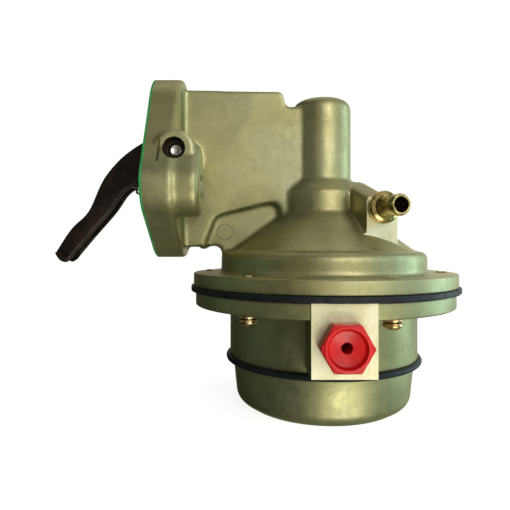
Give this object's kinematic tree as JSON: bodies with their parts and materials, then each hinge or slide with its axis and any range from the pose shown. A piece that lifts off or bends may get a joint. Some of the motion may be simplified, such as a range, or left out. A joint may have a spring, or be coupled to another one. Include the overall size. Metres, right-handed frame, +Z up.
{
  "type": "mechanical diaphragm lift pump",
  "caption": "Cam-driven diaphragm lift pump for an inboard engine: flanged arm housing with rocker arm, domed diaphragm body, port boss with plug, bowl and mounting gasket.",
  "frame": {"origin": "midpoint between the two mounting bolt holes, on the engine side of the gasket", "axes": "+X from the engine pad to the pump axis, +Z up along the pump axis, inlet port towards -Y"},
  "size_m": [0.1977, 0.139, 0.1602],
  "materials": {
    "cast_metal": "yellow chromated die casting, satin",
    "zinc_steel": "yellow zinc plate",
    "bright_steel": "ground",
    "dark_steel": "oil blackened, satin",
    "brass": "turned",
    "black_rubber": "satin",
    "red_plastic": "moulded, semi-gloss",
    "gasket_fibre": "green compressed fibre sheet"
  },
  "bodies": {
    "pump_body": {"mounting_gasket": "gasket_fibre", "upper_housing": "cast_metal", "rocker_pivot_pin": "bright_steel", "rocker_return_spring": "bright_steel", "rod_guide_bushing": "brass", "oil_seal": "black_rubber", "seal_retainer": "zinc_steel", "diaphragm_spring": "bright_steel", "diaphragm": "black_rubber", "vent_nipple": "brass", "valve_body": "cast_metal", "inlet_valve_cage": "brass", "inlet_valve_spring": "bright_steel", "outlet_valve_cage": "brass", "outlet_valve_spring": "bright_steel", "pulsator_diaphragm": "black_rubber", "bowl": "cast_metal", "bowl_bolt_washer": "zinc_steel", "bowl_bolt": "zinc_steel", "inlet_plug": "red_plastic", "outlet_plug": "red_plastic", "flange_screw_1": "zinc_steel", "flange_screw_2": "zinc_steel", "flange_screw_3": "zinc_steel", "flange_screw_4": "zinc_steel", "flange_screw_5": "zinc_steel", "flange_screw_6": "zinc_steel", "flange_lock_washer_1": "zinc_steel", "flange_lock_washer_2": "zinc_steel", "flange_lock_washer_3": "zinc_steel", "flange_lock_washer_4": "zinc_steel", "flange_lock_washer_5": "zinc_steel", "flange_lock_washer_6": "zinc_steel"},
    "rocker": {"rocker_arm": "dark_steel", "inner_lever": "dark_steel", "rocker_bushing": "brass"},
    "diaphragm_rod": {"pull_rod": "bright_steel", "upper_diaphragm_plate": "zinc_steel", "lower_diaphragm_plate": "zinc_steel", "rod_lock_washer": "zinc_steel", "rod_nut": "zinc_steel"},
    "inlet_disc": {"inlet_valve_disc": "black_rubber"},
    "outlet_disc": {"outlet_valve_disc": "black_rubber"}
  },
  "joints": [
    {"name": "rocker_pivot", "type": "hinge", "parent": "pump_body", "child": "rocker", "pos_m": [0.0135, 0, 0.0157], "axis": [0, -1, 0], "range_deg": [0, 7.4], "stiffness_Nm_per_rad": 12, "springref_deg": -20.05, "deforming": ["rocker_return_spring"]},
    {"name": "pull_rod_slide", "type": "slide", "parent": "pump_body", "child": "diaphragm_rod", "axis": [0, 0, 1], "range_m": [0, 0.009], "deforming": ["diaphragm_spring", "diaphragm"]},
    {"name": "inlet_valve_lift", "type": "slide", "parent": "pump_body", "child": "inlet_disc", "axis": [0, 0, 1], "range_m": [0, 0.0015], "stiffness_N_per_m": 60, "springref_m": -0.001, "deforming": ["inlet_valve_spring"]},
    {"name": "outlet_valve_lift", "type": "slide", "parent": "pump_body", "child": "outlet_disc", "axis": [0, 0, -1], "range_m": [0, 0.0015], "stiffness_N_per_m": 60, "springref_m": -0.001, "deforming": ["outlet_valve_spring"]}
  ],
  "couplings": [
    {"joint": "pull_rod_slide", "follows": "rocker_pivot", "m_per_rad": 0.0685}
  ]
}
